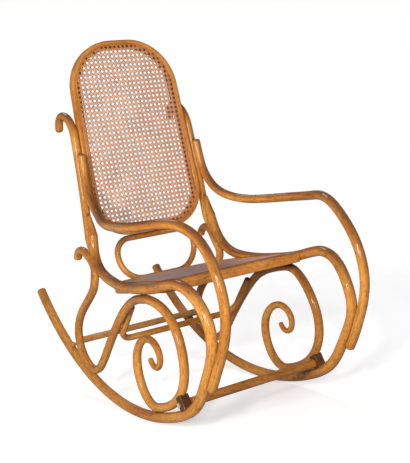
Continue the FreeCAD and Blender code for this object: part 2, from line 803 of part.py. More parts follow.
# Low on the rear leg the stretcher butts its inner side, and a turned spacer stands off
# the rocker behind it.
leg_arc = scroll.edges[2 * LEG_LOW]
leg = leg_arc.valueAt(leg_arc.LastParameter)
leg_travel = leg_arc.tangentAt(leg_arc.LastParameter)
leg_back = unit(ACROSS.cross(leg_travel))
if leg_back.y < 0:
    leg_back = leg_back * -1
leg_sleeve = sleeve("leg_sleeve", scroll, LEG_LOW - 1, LEG_LOW + 2, "scroll_diameter")
HOLLOWS["rear_stretcher"] = [leg_sleeve, mirrored("leg_sleeve_right", leg_sleeve)]
rear_end = Vector(SIDE, leg.y - leg_travel.y / leg_travel.z * (leg.z - size("rear_stretcher_z")),
                  size("rear_stretcher_z"))
rear_stretcher = cylinder("rear_stretcher_rod", "Sizes.rear_stretcher_diameter / 2",
                          "2 * Sizes.side_half", rear_end, ACROSS * -1)

to_hub = leg - Vector(SIDE, ROCKER_Y, ROCKER_Z)
bead_orbit = ROCKER_R - RAIL_R - size("bead_diameter") / 2 + size("bead_seat")
along = to_hub.dot(leg_back)
bead_reach = -along + math.sqrt(along ** 2 - to_hub.dot(to_hub) + bead_orbit ** 2)
bead = doc.addObject("Part::Sphere", "rear_spacer_bead")
bead.setExpression("Radius", "Sizes.bead_diameter / 2")
bead.Placement = Placement(leg + leg_back * bead_reach, Rotation(Vector(0, 0, 1), leg_back))
neck = cylinder("rear_spacer_neck", "Sizes.neck_diameter / 2", str(bead_reach), leg, leg_back)
rear_spacer = fused("rear_spacer_turned", bead, neck)
HOLLOWS["rear_spacer"] = [leg_sleeve, sleeve("bead_sleeve", rail, TURN_SEAT, TURN_SEAT + 2, "rail_diameter")]

# Screws and bolts, each with the hole it stands in. Their heads rest on the floors of
# their recesses.

SCREWS = []
SPACER_SCREWS = []
BOLTS = []


def screw(group, label, at, direction, length, pieces, sink="screw_sink", kind="screw"):
    """A screw from a point on a surface inwards, drilled through the named pieces."""
    head_height = "Sizes.%s_head_height" % kind
    sunk = size("screw_sink") + size("screw_head_height") if sink else 0.0
    floor = at + direction * sunk
    shank = cylinder(label + "_shank", "Sizes.%s_diameter / 2" % kind, length, floor, direction)
    head = cylinder(label + "_head", "Sizes.%s_head_diameter / 2" % kind, head_height, floor, direction * -1)
    group.append(fused(label, shank, head))
    bore = cylinder(label + "_bore", "Sizes.%s_diameter / 2 + Sizes.seat_gap" % kind,
                    length + " + Sizes.seat_gap", floor, direction)
    recess = cylinder(label + "_recess", "Sizes.%s_head_diameter / 2 + Sizes.seat_gap" % kind,
                      head_height + " * 2 + Sizes.screw_sink", floor, direction * -1)
    hole = fused(label + "_hole", bore, recess)
    for piece in pieces:
        HOLLOWS[piece].append(hole)
        if piece in ("back_frame", "seat_frame", "ring_brace", "bow", "front_stretcher", "rear_stretcher"):
            HOLLOWS[piece].append(mirrored(label + "_hole_right", hole))


lap, forward = stile.between(ARM_LAP, 0.4)
screw(SCREWS, "arm_screw", lap - forward * STILE_R, forward, "Sizes.screw_length", ["stile", "arm"])
lap, forward = stile.between(RAIL_LAP, 0.4)
screw(SCREWS, "rail_screw", lap - forward * STILE_R, forward, "Sizes.screw_length", ["stile", "rail"])
lap, forward = rail.between(FOOT_LAP, 0.6)
foot_face = lap + forward * (RAIL_R + GAP + 2 * ARM_R)
screw(SCREWS, "foot_screw", foot_face, forward * -1, "Sizes.screw_length", ["arm", "rail"])
for name, i in (("hook", BACK_BEND), ("arch", SEAT_SIDE), ("loop", LOOP_SEAT), ("turn", TURN_SEAT)):
    outward = rail.normal(i)
    face = rail.points[i] - outward * (RAIL_R + GAP + 2 * SCROLL_R)
    screw(SCREWS, name + "_screw", face, outward, "Sizes.screw_length", ["scroll", "rail"])
for name, i in (("upper", ARM_LAP), ("lower", ARM_LAP_END + 1)):
    face = stile.points[i] - stile.tangents[i] * size("screw_head_diameter") + ACROSS * STILE_R
    screw(SCREWS, name + "_back_screw", face, ACROSS * -1, "Sizes.screw_length", ["stile", "back_frame"])
for name, i in (("front", SEAT_SIDE), ("middle", SEAT_MIDDLE)):
    face = rail.points[i] + ACROSS * RAIL_R
    screw(SCREWS, name + "_seat_screw", face, ACROSS * -1, "Sizes.screw_length", ["rail", "seat_frame"])
bow_face = bow_seat + ACROSS * (bow_x - BOW_R)
screw(SCREWS, "bow_screw", bow_face, ACROSS, "Sizes.screw_length", ["bow", "scroll"])
screw(SCREWS, "rear_stretcher_screw", rear_end + ACROSS * SCROLL_R, ACROSS * -1, "Sizes.screw_length",
      ["scroll", "rear_stretcher"])
ring_inset = size("screw_head_diameter") * 2
high_face = on_back(ring_half - ring_high_radius - ring_inset, ring_high, BACK_T / 2) - UP * RING_R
screw(SCREWS, "ring_back_screw", high_face, UP, "Sizes.screw_length", ["ring_brace", "back_frame"])
low_face = on_back(ring_half - ring_low_radius - ring_inset, ring_low, BACK_T / 2) + SEAT_BACK * RING_R
screw(SCREWS, "ring_seat_screw", low_face, SEAT_BACK * -1, "Sizes.screw_length", ["ring_brace", "seat_frame"])
spacer_screw_length = (SCROLL_R + bead_reach + size("bead_diameter") / 2 - size("bead_seat")
                       + size("spacer_screw_grip") - size("screw_sink") - size("screw_head_height"))
screw(SPACER_SCREWS, "spacer_screw", leg - leg_back * SCROLL_R, leg_back, str(spacer_screw_length),
      ["scroll", "rear_spacer", "rail"])
bolt_face = Vector(SIDE + size("block_width") / 2, BAR_Y, BAR_Z)
screw(BOLTS, "stretcher_bolt", bolt_face, ACROSS * -1, "Sizes.bolt_length", ["front_block", "front_stretcher"],
      sink=None, kind="bolt")


def hollowed(base, name):
    """The piece less the rods it sits against and the holes of its screws."""
    if not HOLLOWS[name]:
        return base
    cut = doc.addObject("Part::Cut", name + "_cut")
    cut.Base = base
    cut.Tool = compound(name + "_hollows", HOLLOWS[name])
    doc.recompute()
    return cut


for name in ("rail", "arm", "stile", "scroll"):
    pair(hollowed(RODS[name], name), name)
pair(hollowed(front_block, "front_block"), "front_block")
pair(hollowed(rear_spacer, "rear_spacer"), "rear_spacer")
for name, piece in (("back_frame", back_frame), ("seat_frame", seat_frame), ("ring_brace", ring), ("bow", bow),
                    ("front_stretcher", front_stretcher), ("rear_stretcher", rear_stretcher)):
    keep(hollowed(piece, name), name, REST)
for name, group in (("screws", SCREWS), ("spacer_screws", SPACER_SCREWS), ("stretcher_bolts", BOLTS)):
    left = compound(name + "_one_side", group)
    keep(compound(name, [left, mirrored(name + "_other_side", left)]), name, REST)

doc.recompute()
for item in doc.Objects:
    for state in ("Invalid", "Error"):
        assert state not in item.State, item.Name
os.makedirs("parts", exist_ok=True)
for piece in PARTS:
    assert not piece.Shape.isNull(), piece.Label
    assert piece.Shape.isValid(), piece.Label
    piece.Shape.exportStep("parts/%s.step" % piece.Label)
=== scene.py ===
"""Looks of a bentwood rocking chair with a caned back and seat.

The bent rods, the two caned frames, the cane itself and the fittings are surfaces worked out with numpy,
in millimetres in the chair's own drawing axes: y runs from the front of the rockers to the back, z up from
the floor, and x across, with the sitter's left at +x. chair_to_room turns the chair on its rockers to where
it comes to rest and gives metres."""

import math

import bpy
import numpy as np
from mathutils import Matrix

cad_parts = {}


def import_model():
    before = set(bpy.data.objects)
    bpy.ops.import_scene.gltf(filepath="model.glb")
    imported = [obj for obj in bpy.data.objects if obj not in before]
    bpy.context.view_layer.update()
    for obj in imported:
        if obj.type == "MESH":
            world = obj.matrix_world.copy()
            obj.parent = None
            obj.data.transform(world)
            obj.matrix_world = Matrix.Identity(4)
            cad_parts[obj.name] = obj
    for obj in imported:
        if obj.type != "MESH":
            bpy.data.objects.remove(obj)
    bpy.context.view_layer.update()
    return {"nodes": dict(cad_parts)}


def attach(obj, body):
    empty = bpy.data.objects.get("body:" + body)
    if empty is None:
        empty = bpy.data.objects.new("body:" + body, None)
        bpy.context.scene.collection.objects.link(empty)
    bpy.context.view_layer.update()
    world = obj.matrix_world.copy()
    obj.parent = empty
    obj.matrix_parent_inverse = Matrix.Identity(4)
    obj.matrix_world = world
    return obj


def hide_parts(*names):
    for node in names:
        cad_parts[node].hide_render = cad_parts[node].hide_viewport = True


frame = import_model()

# Sizes of the chair, as in the CAD model, apart from the seat's nearly square front corners

RAIL_R, ARM_R, STILE_R, SCROLL_R, TIP_R, RING_R, BOW_R = 14.0, 12.5, 12.0, 12.0, 7.0, 8.75, 9.0
FRONT_STRETCHER_R, BLOCK_HALF = 12.0, 13.0
GAP, SIDE = 0.3, 215.0
ROCKER_R, ROCKER_Y, ROCKER_Z = 750.0, 526.0, 764.0
RAIL_BULGE, ARM_BULGE = 15.0, 53.0
BACK_LEAN, BACK_HALF, BACK_T = math.radians(20.5), 286.5, 22.0
BACK_HALF_BOTTOM, BACK_HALF_TOP, BACK_BOTTOM_RADIUS, BACK_TOP_RADIUS = 185.0, 175.0, 118.0, 147.0
SEAT_SLOPE, SEAT_T, SEAT_FRONT_RADIUS, SEAT_REAR_RADIUS = math.radians(19.0), 28.0, 7.0, 100.0
BACK_WIDTH, SEAT_WIDTH, CANE_LAP, SPLINE_WIDTH = 25.0, 38.0, 12.0, 4.0
REST_PITCH, MIDDLE_Y = math.radians(11.9), 569.7
ACROSS = np.array([1.0, 0.0, 0.0])


def chair_to_room(points):
    """Drawing axes to the room: a turn by REST_PITCH about the rockers' centre line, a shift of the chair's
    middle to y = 0, and millimetres to metres."""
    p = np.asarray(points, float)
    y, z = p[..., 1] - ROCKER_Y, p[..., 2] - ROCKER_Z
    c, s = math.cos(REST_PITCH), math.sin(REST_PITCH)
    return np.stack([p[..., 0], ROCKER_Y - MIDDLE_Y + y * c - z * s, ROCKER_Z + y * s + z * c], -1) / 1000


def turned(vectors):
    """The same turn for directions."""
    v = np.asarray(vectors, float)
    c, s = math.cos(REST_PITCH), math.sin(REST_PITCH)
    return np.stack([v[..., 0], v[..., 1] * c - v[..., 2] * s, v[..., 1] * s + v[..., 2] * c], -1)


def unit(v):
    v = np.asarray(v, float)
    return v / np.linalg.norm(v, axis=-1, keepdims=True)


# Bent routes: chains of arcs through points with headings

def arc_points(start, direction, end, step):
    """The arc that leaves start along direction and reaches end: start + R (sin a * direction +
    (1 - cos a) * side), with a running from 0 to twice the angle between direction and chord."""
    chord = end - start
    length = np.linalg.norm(chord)
    turn = math.acos(max(-1.0, min(1.0, float(chord @ direction) / length)))
    if turn < 1e-4:
        n = max(2, int(length / step))
        return start + chord * np.linspace(0, 1, n + 1)[:, None]
    side = unit(chord - direction * (chord @ direction))
    radius = length / (2 * math.sin(turn))
    n = max(2, int(2 * turn * radius / step))
    a = np.linspace(0, 2 * turn, n + 1)[:, None]
    return start + radius * (np.sin(a) * direction + (1 - np.cos(a)) * side)


class Route:
    """A bend through points (x, y, z) or (x, y, z, heading), where heading is degrees in the side plane from
    +y towards +z. Each pair of points is joined by two arcs that touch at the middle."""

    def __init__(self, points):
        self.points = np.array([p[:3] for p in points], float)
        self.tangents = self.free_tangents()
        for i, p in enumerate(points):
            if len(p) > 3:
                self.tangents[i] = self.aimed(i, math.radians(p[3]))

    def free_tangents(self):
        p = self.points
        t = np.zeros_like(p)
        before, after = p[1:-1] - p[:-2], p[2:] - p[1:-1]
        lb = np.linalg.norm(before, axis=1, keepdims=True)
        la = np.linalg.norm(after, axis=1, keepdims=True)
        t[1:-1] = unit(before / lb * la + after / la * lb)
        for end, beside in ((0, 1), (-1, -2)):
            chord = unit(p[beside] - p[end])
            t[end] = chord * (2 * t[beside] @ chord) - t[beside]
        return t

    def aimed(self, i, heading):
        ahead = self.points[min(i + 1, len(self.points) - 1)]
        behind = self.points[max(i - 1, 0)]
        drift = (ahead[0] - behind[0]) / math.hypot(ahead[1] - behind[1], ahead[2] - behind[2])
        return unit([drift, math.cos(heading), math.sin(heading)])

    def normal(self, i):
        return unit(np.cross(self.tangents[i], ACROSS))

    def heading(self, i):
        return math.degrees(math.atan2(self.tangents[i][2], self.tangents[i][1]))

    def beside(self, i, distance):
        return tuple(self.points[i] + self.normal(i) * distance) + (self.heading(i),)

    def against(self, i, distance):
        x, y, z, heading = self.beside(i, distance)
        return (x, y, z, heading + 180)

    def arcs(self, step=3.0):
        """Points along the whole bend, and the running count of points at each node."""
        path, marks = [], [0]
        for i in range(len(self.points) - 1):
            p, q, s, t = self.points[i], self.points[i + 1], self.tangents[i], self.tangents[i + 1]
            span, both = q - p, s + t
            a, b, c = 2 * (s @ t - 1), -2 * span @ both, span @ span
            if abs(a) < 1e-9:
                reach = -c / b
            else:
                root = math.sqrt(b * b - 4 * a * c)
                reach = (-b - root) / (2 * a)
                if reach < 0:
                    reach = (-b + root) / (2 * a)
            join = (p + s * reach + q - t * reach) / 2
            path.append(arc_points(p, s, join, step)[:-1])
            path.append(arc_points(q, -t, join, step)[::-1][:-1])
            marks.append(marks[-1] + len(path[-1]) + len(path[-2]))
        path.append(self.points[-1:])
        return np.concatenate(path), marks


def rocker(y):
    return ROCKER_Z - math.sqrt(ROCKER_R ** 2 - (y - ROCKER_Y) ** 2)


def sole(share):
    y = ROCKER_Y + share * ROCKER_R
    return (SIDE, y, rocker(y), math.degrees(math.asin(share)))


UP = np.array([0, math.sin(BACK_LEAN), math.cos(BACK_LEAN)])
BACKWARD = np.array([0, math.cos(BACK_LEAN), -math.sin(BACK_LEAN)])
BACK_MIDDLE = np.array([0, 728.0, 715.0])


def laid(start, *runs):
    """start plus each run, a number or an array, along its direction."""
    return start + sum(np.multiply.outer(run, way) for run, way in runs)


def on_back(u, v, w):
    """Across, up the lean and backwards through the back's thickness, from the middle of its face."""
    return laid(BACK_MIDDLE, (u, ACROSS), (v, UP), (w, BACKWARD))


def back_side(v):
    low, high = -BACK_HALF + BACK_BOTTOM_RADIUS, BACK_HALF - BACK_TOP_RADIUS
    return BACK_HALF_BOTTOM + (v - low) / (high - low) * (BACK_HALF_TOP - BACK_HALF_BOTTOM)


def stile_at(v, w, heading):
    return tuple(on_back(back_side(v) + STILE_R + GAP, v, w)) + (heading,)


HOOK_X = back_side(60) + STILE_R + GAP
stile = Route([(HOOK_X, 846, 724, 60), (HOOK_X, 824, 774, 170), (HOOK_X, 772, 761, -143),
               stile_at(-37, 12, -110), stile_at(-75, 12, -108.5), stile_at(-130, 14, -107.5),
               stile_at(-210, 19, -105.5), stile_at(-260, 23, -105), stile_at(-295, 26, -104.5)])
ARM_LAP, STILE_LAP, LAP_POINTS = 3, 7, 27
DROP, ROCKER_FRONT = (SIDE, 11, 305, -71), sole(-0.468)


def on_drop(forward, down, heading):
    """A point of the rail's front, as shares of the way from its upper to its lower end."""
    return (SIDE, DROP[1] + forward * (ROCKER_FRONT[1] - DROP[1]),
            DROP[2] + down * (ROCKER_FRONT[2] - DROP[2]), heading)


rail = Route([stile.beside(STILE_LAP - 1, STILE_R + RAIL_R + GAP),
              stile.beside(STILE_LAP, STILE_R + RAIL_R + GAP), (SIDE - 6, 597.5, 397.5, -134.5),
              (SIDE - 3, 500, 368, 177), (SIDE + RAIL_BULGE * 0.13, 452, 373, 171),
              (SIDE + RAIL_BULGE * 0.35, 402, 383, 166.5), (SIDE + RAIL_BULGE * 0.75, 300, 412.5, 162.5),
              (SIDE + RAIL_BULGE, 215, 445.5, 154), (SIDE + RAIL_BULGE * 0.6, 105, 476.5, -172.5),
              (SIDE, 26, 425.5, -126.5), (SIDE, 1.5, 360, -92), DROP, on_drop(0.103, 0.22, -68.7),
              on_drop(0.291, 0.546, -57.5), on_drop(0.573, 0.785, -37), ROCKER_FRONT,
              sole(-0.372), sole(-0.1013), sole(0.172), sole(0.4053), sole(0.6307)])
BACK_BEND, SEAT_REAR_SIDE, SEAT_SIDE, FOOT_LAP, LOOP_SEAT, TURN_SEAT = 2, 4, 6, 11, 16, 18
arm = Route([stile.beside(ARM_LAP, STILE_R + ARM_R + GAP), stile.beside(ARM_LAP + 1, STILE_R + ARM_R + GAP),
             (SIDE - 16, 655, 583, -131.5), (SIDE - 8, 590, 543.5, -164),
             (SIDE + ARM_BULGE * 0.2, 520, 536, 177.5),
             (SIDE + ARM_BULGE * 0.72, 409, 555, 165.5), (SIDE + ARM_BULGE, 302, 583, 165),
             (SIDE + ARM_BULGE * 0.7, 214, 608.5, 162.5), (SIDE + ARM_BULGE * 0.2, 128, 623.5, -177.5),
             (SIDE - 3, 60, 603, -150), (SIDE - 5, -10, 538, -125), (SIDE - 5, -45.5, 435, -91),
             (SIDE - 3, -33, 355, -73.5), rail.beside(FOOT_LAP, RAIL_R + ARM_R + GAP),
             rail.beside(FOOT_LAP + 1, RAIL_R + ARM_R + GAP)])
hug = RAIL_R + SCROLL_R + GAP
scroll = Route([(SIDE, 706, 372, 85), (SIDE, 668, 408, -175.5), rail.beside(BACK_BEND, -hug),
                (SIDE, 600.5, 343, -90.5), (SIDE, 615, 303, -53.5), (SIDE, 680.5, 227.5, -49),
                (SIDE, 724, 128, -93.5), (SIDE, 701, 77, -135), rail.against(TURN_SEAT, -hug),
                (SIDE, 576, 86, 126.5), (SIDE, 508, 193, 122.5),
                (SIDE, 432, 300, 130), (SIDE, 387.5, 342.5, 144), rail.beside(SEAT_SIDE, -hug),
                (SIDE, 184, 365.5, -141), (SIDE, 124, 262, -97.5), (SIDE, 139.5, 184, -60),
                rail.beside(LOOP_SEAT, -hug), (SIDE, 337.5, 120.5, 52.5), (SIDE, 362, 190, 91),
                (SIDE, 320.5, 262.5, 148), (SIDE, 274, 272, -168.5), (SIDE, 240, 238, -98.5),
                (SIDE, 266, 204.5, -1), (SIDE, 290, 221.5, 72.5)])
BOW_SEAT, THINNING = 11, 19


# Flat outlines with rounded corners

CORNER_POINTS, SIDE_POINTS = 30, 36


def rounded(corners, radii, closed=True, step=3.0):
    """Points along a polygon, or an open path, whose corners are arcs of the given radii."""
    corners = np.asarray(corners, float)
    count = len(corners)
    path = []
    for i in range(count):
        corner = corners[i]
        if not closed and i in (0, count - 1):
            path.append(corner[None])
            continue
        back, ahead = unit(corners[i - 1] - corner), unit(corners[(i + 1) % count] - corner)
        half = math.acos(float(back @ ahead)) / 2
        reach = radii[i] / math.tan(half)
        path.append(arc_points(corner + back * reach, -back, corner + ahead * reach, step))
    if closed:
        path.append(path[0][:1])
    runs = []
    for a, b in zip(path[:-1], path[1:]):
        n = max(1, int(np.linalg.norm(b[0] - a[-1]) / (3 * step)))
        runs += [a, (a[-1] + (b[0] - a[-1]) * np.linspace(0, 1, n + 1)[1:-1, None])]
    if not closed:
        runs.append(path[-1])
    return np.concatenate(runs)


def even_loop(corners, radii):
    """A closed rounded outline with the same count of points on every corner and on every side, so that
    outlines of different sizes pair up point by point."""
    arcs = []
    for i in range(len(corners)):
        back, ahead = unit(corners[i - 1] - corners[i]), unit(corners[(i + 1) % len(corners)] - corners[i])
        half = math.acos(float(back @ ahead)) / 2
        centre = corners[i] + unit(back + ahead) * radii[i] / math.sin(half)
        a = np.linspace(-1, 1, CORNER_POINTS)[:, None] * (math.pi / 2 - half)
        out = -unit(back + ahead)
        side = np.array([-out[1], out[0]])
        arcs.append(centre + radii[i] * (np.cos(a) * out + np.sin(a) * side))
    share = np.linspace(0, 1, SIDE_POINTS + 2)[1:-1, None]
    return np.concatenate([part for arc, after in zip(arcs, arcs[1:] + arcs[:1])
                           for part in (arc, arc[-1] + (after[0] - arc[-1]) * share)])


def inward_ways(outline):
    """The unit normal of each side of an anticlockwise outline, pointing inside."""
    edge = np.roll(outline, -1, axis=0) - outline
    return unit(np.stack([-edge[:, 1], edge[:, 0]], 1))


def inset(corners, distance):
    """The polygon whose sides lie a distance inside; corners run anticlockwise."""
    corners = np.asarray(corners, float)
    after = inward_ways(corners)
    before = np.roll(after, 1, axis=0)
    return corners + (before + after) * distance / (1 + (before * after).sum(1, keepdims=True))


# Meshes

SOIL_AND_SHADE_REACH, BATCH = 7.0, 4000
EASE_RINGS = 6


def new_piece(name, points, faces, material, stick, cut, grime):
    """A mesh object from arrays. stick is each point's place in the straight stick that the piece is bent
    from, across, across and along, in metres. cut is 1 on sawn ends, and the last mask is 1 where a piece is
    darkened near a joint, partly by soiling and partly as painted shade, and on cane it is the border tone."""
    mesh = bpy.data.meshes.new(name)
    mesh.from_pydata(points.reshape(-1, 3).tolist(), [], faces)
    mesh.polygons.foreach_set("use_smooth", np.ones(len(mesh.polygons), bool))
    mesh.attributes.new("stick", "FLOAT_VECTOR", "POINT").data.foreach_set("vector", np.ascontiguousarray(
        stick, np.float32).ravel())
    for label, values in (("cut", cut), ("grime", grime)):
        mesh.attributes.new(label, "FLOAT", "POINT").data.foreach_set("value", np.ascontiguousarray(
            values, np.float32).ravel())
    mesh.update()
    piece = bpy.data.objects.new(name, mesh)
    bpy.context.collection.objects.link(piece)
    mesh.materials.append(material)
    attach(piece, "root")
    return piece


def grid_faces(rows, columns, close_rows=False, offset=0):
    """Quads between neighbouring rings of points: rows rings, each closed and of columns points."""
    r = np.arange(rows if close_rows else rows - 1)[:, None]
    c = np.arange(columns)[None]
    r2, c2 = (r + 1) % rows, (c + 1) % columns
    quads = np.stack([r * columns + c, r * columns + c2, r2 * columns + c2, r2 * columns + c], -1)
    return (quads.reshape(-1, 4) + offset).tolist()


def lengths_along(path):
    return np.concatenate([[0], np.cumsum(np.linalg.norm(np.diff(path, axis=0), axis=1))])


def closeness(points, lines):
    """(1 - gap / reach) squared: 1 where a point lies on one of the round lines (path, radius), falling to 0
    at the reach constant from its surface. It marks soiling and painted shade where rods touch."""
    near = np.zeros(len(points))
    for path, radius in lines:
        for at in range(0, len(points), BATCH):
            part = points[at:at + BATCH]
            gap = np.sqrt(((part[:, None] - path[None, ::2]) ** 2).sum(-1).min(1)) - radius
            near[at:at + BATCH] = np.maximum(near[at:at + BATCH], np.clip(1 - gap / SOIL_AND_SHADE_REACH, 0, 1) ** 2)
    return near


def tube(name, path, radii, plane_normal, ease=(3.0, 3.0), around=28, closed=False, grain=0.0, mirror=False,
         beside=()):
    """A round rod of beech: point = path(s) + r(s) (cos a * side + sin a * plane_normal), where side is
    square to the path in its plane. Near an open end r(s) falls on a quarter circle of radius ease, one for
    each end, and a flat cap closes it. beside lists the round lines near which the rod is darkened, partly
    by soiling and partly as painted shade."""
    radii = np.broadcast_to(np.asarray(radii, float), len(path))
    along = lengths_along(path)
    if closed:
        tangent = unit(np.roll(path, -1, axis=0) - np.roll(path, 1, axis=0))
    else:
        tangent = unit(np.gradient(path, axis=0))
    cut = np.zeros(len(path))
    if not closed:
        quarter = np.linspace(0, math.pi / 2, EASE_RINGS)
        depths = [e * (1 - np.cos(quarter)) for e in ease]
        keep = (along > ease[0] * 1.1) & (along < along[-1] - ease[1] * 1.1)
        before, after = [radii[at] - e + e * np.sin(quarter) for at, e in zip((0, -1), ease)]
        radii = np.concatenate([before, radii[keep], after[::-1]])
        path = np.concatenate([path[0] + tangent[0] * depths[0][:, None], path[keep],
                               (path[-1] - tangent[-1] * depths[1][:, None])[::-1]])
        tangent = np.concatenate([np.repeat(tangent[:1], EASE_RINGS, 0), tangent[keep],
                                  np.repeat(tangent[-1:], EASE_RINGS, 0)])
        along = np.concatenate([depths[0], along[keep], along[-1] - depths[1][::-1]])
        cut = np.zeros(len(path))
        cut[[0, -1]] = 1.0
        cut[[1, -2]] = 0.6
    normal = np.asarray(plane_normal, float)
    b = unit(normal - tangent * (tangent @ normal)[:, None])
    side = np.cross(tangent, b)
    a = np.linspace(0, 2 * math.pi, around, endpoint=False)
    ca, sa = np.cos(a)[None, :, None], np.sin(a)[None, :, None]
    points = path[:, None] + radii[:, None, None] * (ca * side[:, None] + sa * b[:, None])
    rows = len(path)
    stick = np.stack([radii[:, None] * np.cos(a), radii[:, None] * np.sin(a),
                      np.repeat(along[:, None], around, 1)], -1) / 1000 + [0.0, 0.0, grain]
    faces = grid_faces(rows, around, closed)
    points, stick, cut = points.reshape(-1, 3), stick.reshape(-1, 3), np.repeat(cut, around)
    if not closed:
        low, high, top = len(points), len(points) + 1, (rows - 1) * around
        points = np.concatenate([points, path[[0, -1]]])
        stick = np.concatenate([stick, [[0, 0, end / 1000 + grain] for end in along[[0, -1]]]])
        cut = np.concatenate([cut, [1.0, 1.0]])
        faces += [[low, (k + 1) % around, k] for k in range(around)]
        faces += [[high, top + k, top + (k + 1) % around] for k in range(around)]
    # Darkening near the other rods: soiling in the joints and painted shade between touching parts.
    grime = closeness(points, beside)
    flip = np.cross(side[0], b[0]) @ tangent[0] > 0
    if mirror:
        points = points * [-1, 1, 1]
        flip = not flip
    if flip:
        faces = [face[::-1] for face in faces]
    return new_piece(name, chair_to_room(points), faces, ROD_WOOD, stick, cut, grime)


def moulded_ring(name, corners, radii, place, profile, grain, dirt):
    """A frame of beech: each point (inset, height) of the closed profile goes round the outline that lies so
    far inside the corners' polygon, rounded by radii(inset), at that height over the face. The last argument
    is the darkening of each profile point: painted shade where the cane covers the frame."""
    xy = np.stack([even_loop(inset(corners, d), radii(d)) for d in profile[:, 0]], 1)
    flat = xy[:, 0]
    height = np.broadcast_to(profile[None, :, 1], xy.shape[:2])
    points = place(xy[..., 0], xy[..., 1], height)
    along = lengths_along(np.vstack([flat, flat[:1]]))[:-1]
    stick = np.stack([np.broadcast_to(profile[None, :, 0], xy.shape[:2]), height,
                      np.broadcast_to(along[:, None], xy.shape[:2])], -1) / 1000 + [0.03, 0.0, grain]
    faces = [face[::-1] for face in grid_faces(len(flat), len(profile), True)]
    return new_piece(name, chair_to_room(points), faces, FRAME_WOOD, stick.reshape(-1, 3),
                     np.zeros(stick.size // 3), np.tile(dirt, len(xy)))


# Materials

class Nodes:
    """Short hands for the nodes of one tree. Inputs are named in_ and their name or number."""

    def __init__(self, tree):
        self.tree = tree

    def feed(self, socket, value):
        """Links an output to the socket, or sets the socket's own value."""
        if isinstance(value, bpy.types.NodeSocket):
            self.tree.links.new(value, socket)
        else:
            socket.default_value = value

    def add(self, kind, **values):
        node = self.tree.nodes.new("ShaderNode" + kind)
        for key, value in values.items():
            if key.startswith("in_"):
                name = key[3:]
                self.feed(node.inputs[int(name) if name.isdigit() else name.replace("_", " ")], value)
            else:
                setattr(node, key, value)
        return node

    def calc(self, operation, first, second=0.0, third=0.0):
        return self.add("Math", operation=operation, in_0=first, in_1=second, in_2=third).outputs[0]

    def most(self, *values):
        top = values[0]
        for value in values[1:]:
            top = self.calc("MAXIMUM", top, value)
        return top

    def spread(self, value, low, high, to=(0.0, 1.0)):
        """The value's range low to high, stretched evenly over another and held at its ends."""
        return self.add("MapRange", in_0=value, in_1=low, in_2=high, in_3=to[0], in_4=to[1]).outputs[0]

    def mix(self, amount, first, second):
        return self.add("Mix", data_type="RGBA", in_0=amount, in_6=first, in_7=second).outputs[2]

    def ramp(self, value, stops):
        """A colour ramp through (place, colour) stops."""
        node = self.add("ValToRGB", in_0=value)
        elements = node.color_ramp.elements
        while len(elements) < len(stops):
            elements.new(0.5)
        for element, (place, colour) in zip(elements, stops):
            element.position, element.color = place, (*colour, 1)
        return node.outputs[0]

    def noise(self, place, stretch, detail, roughness=0.5):
        """Noise with so many cells to the metre along each axis."""
        cells = self.add("VectorMath", operation="MULTIPLY", in_0=place, in_1=stretch).outputs[0]
        return self.add("TexNoise", in_Vector=cells, in_Scale=1.0, in_Detail=detail,
                        in_Roughness=roughness).outputs[0]

    def attribute(self, name, output="Fac"):
        return self.add("Attribute", attribute_name=name).outputs[output]

    def part(self, vector, axis):
        return self.add("SeparateXYZ", in_0=vector).outputs[axis]


def cleared(owner):
    """The emptied node tree of a material or a world."""
    owner.use_nodes = True
    owner.node_tree.nodes.clear()
    return Nodes(owner.node_tree)


def new_material(name):
    """A material, its nodes and the inputs of its surface."""
    material = bpy.data.materials.new(name)
    n = cleared(material)
    shader = n.add("BsdfPrincipled")
    n.add("OutputMaterial", in_0=shader.outputs[0])
    return material, n, shader.inputs


